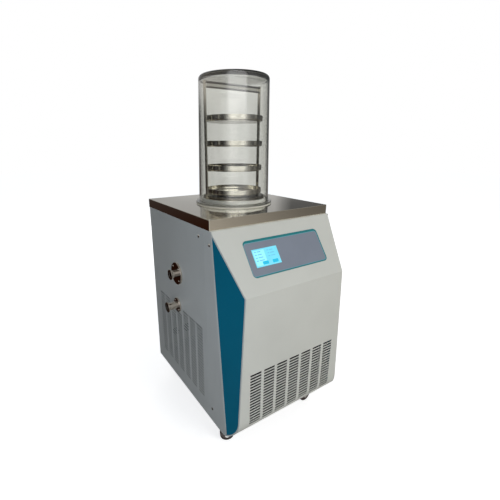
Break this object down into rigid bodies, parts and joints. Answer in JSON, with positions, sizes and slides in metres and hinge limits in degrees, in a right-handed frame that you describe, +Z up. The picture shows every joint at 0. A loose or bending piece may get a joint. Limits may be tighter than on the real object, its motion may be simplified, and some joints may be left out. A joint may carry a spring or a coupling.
{
  "type": "freeze dryer",
  "caption": "Floor-standing laboratory freeze dryer on casters: sheet cabinet with sloping control panel, cold trap, clear drying bell and tray rack.",
  "frame": {"origin": "on the floor, on the axis of the drying chamber", "axes": "+Z up, the control panel faces -Y, the two ports are on the -X side"},
  "size_m": [0.547, 0.6365, 1.247],
  "materials": {
    "cabinet_paint": "light warm grey powder coat",
    "teal_paint": "teal powder coat",
    "brushed_stainless": "brushed",
    "polished_stainless": "polished",
    "galvanised": "zinc",
    "clear_acrylic": "clear, polished",
    "seal_rubber": "translucent silicone",
    "foam": "cast foam",
    "overlay_foil": "satin printed foil",
    "screen_glass": "lit display",
    "white_plastic": "turned, satin",
    "black_plastic": "moulded",
    "black_paint": "satin black",
    "fins": "finned",
    "zinc_plate": "bright zinc",
    "caster_rubber": "moulded"
  },
  "bodies": {
    "cabinet": {"base_pan": "galvanised", "chassis_frame": "galvanised", "rear_panel": "cabinet_paint", "front_cover": "cabinet_paint", "side_panel_left": "cabinet_paint", "side_panel_right": "cabinet_paint", "front_strip_left": "cabinet_paint", "front_strip_right": "cabinet_paint", "cheek_left": "teal_paint", "cheek_right": "teal_paint", "top_plate": "brushed_stainless", "control_overlay": "overlay_foil", "display_module": "black_plastic", "touch_screen": "screen_glass", "trap_collar": "white_plastic", "trap_well": "brushed_stainless", "trap_insulation": "foam", "chamber_seal": "seal_rubber", "drying_bell": "clear_acrylic", "rack_base": "polished_stainless", "rack_crossbar": "polished_stainless", "rack_post_left": "polished_stainless", "rack_post_right": "polished_stainless", "vacuum_port": "polished_stainless", "drain_port": "polished_stainless", "drain_pipe": "brushed_stainless", "port_screws": "zinc_plate", "panel_screws": "zinc_plate", "compressor": "black_paint", "condenser": "fins", "fan_shroud": "galvanised", "fan_motor": "black_paint", "mains_inlet": "black_plastic", "switch_frame": "black_plastic", "shelf_plate_1": "polished_stainless", "tray_1": "polished_stainless", "shelf_plate_2": "polished_stainless", "tray_2": "polished_stainless", "shelf_plate_3": "polished_stainless", "tray_3": "polished_stainless", "shelf_plate_4": "polished_stainless", "tray_4": "polished_stainless", "caster_plate_front_left": "zinc_plate", "caster_plate_front_right": "zinc_plate", "caster_plate_rear_left": "zinc_plate", "caster_plate_rear_right": "zinc_plate"},
    "fan": {"fan_rotor": "black_plastic"},
    "mains_switch": {"switch_rocker": "black_plastic"},
    "swivel_front_left": {"caster_fork_front_left": "zinc_plate", "caster_axle_front_left": "zinc_plate"},
    "wheel_front_left": {"caster_wheel_front_left": "caster_rubber"},
    "swivel_front_right": {"caster_fork_front_right": "zinc_plate", "caster_axle_front_right": "zinc_plate"},
    "wheel_front_right": {"caster_wheel_front_right": "caster_rubber"},
    "swivel_rear_left": {"caster_fork_rear_left": "zinc_plate", "caster_axle_rear_left": "zinc_plate"},
    "wheel_rear_left": {"caster_wheel_rear_left": "caster_rubber"},
    "swivel_rear_right": {"caster_fork_rear_right": "zinc_plate", "caster_axle_rear_right": "zinc_plate"},
    "wheel_rear_right": {"caster_wheel_rear_right": "caster_rubber"}
  },
  "joints": [
    {"name": "fan_spin", "type": "hinge", "parent": "cabinet", "child": "fan", "pos_m": [0, -0.2945, 0.22618], "axis": [0, -1, 0], "continuous": true},
    {"name": "switch_rock", "type": "hinge", "parent": "cabinet", "child": "mains_switch", "pos_m": [-0.11, 0.252, 0.17], "axis": [-1, 0, 0], "range_deg": [0, 18]},
    {"name": "swivel_front_left", "type": "hinge", "parent": "cabinet", "child": "swivel_front_left", "pos_m": [-0.188, -0.283, 0.065], "axis": [0, 0, 1], "continuous": true},
    {"name": "roll_front_left", "type": "hinge", "parent": "swivel_front_left", "child": "wheel_front_left", "pos_m": [-0.20975, -0.27286, 0.025], "axis": [0.4226, 0.9063, 0], "continuous": true},
    {"name": "swivel_front_right", "type": "hinge", "parent": "cabinet", "child": "swivel_front_right", "pos_m": [0.188, -0.283, 0.065], "axis": [0, 0, 1], "continuous": true},
    {"name": "roll_front_right", "type": "hinge", "parent": "swivel_front_right", "child": "wheel_front_right", "pos_m": [0.164, -0.283, 0.025], "axis": [0, 1, 0], "continuous": true},
    {"name": "swivel_rear_left", "type": "hinge", "parent": "cabinet", "child": "swivel_rear_left", "pos_m": [-0.188, 0.193, 0.065], "axis": [0, 0, 1], "continuous": true},
    {"name": "roll_rear_left", "type": "hinge", "parent": "swivel_rear_left", "child": "wheel_rear_left", "pos_m": [-0.188, 0.217, 0.025], "axis": [1, 0, 0], "continuous": true},
    {"name": "swivel_rear_right", "type": "hinge", "parent": "cabinet", "child": "swivel_rear_right", "pos_m": [0.188, 0.193, 0.065], "axis": [0, 0, 1], "continuous": true},
    {"name": "roll_rear_right", "type": "hinge", "parent": "swivel_rear_right", "child": "wheel_rear_right", "pos_m": [0.188, 0.217, 0.025], "axis": [1, 0, 0], "continuous": true}
  ]
}
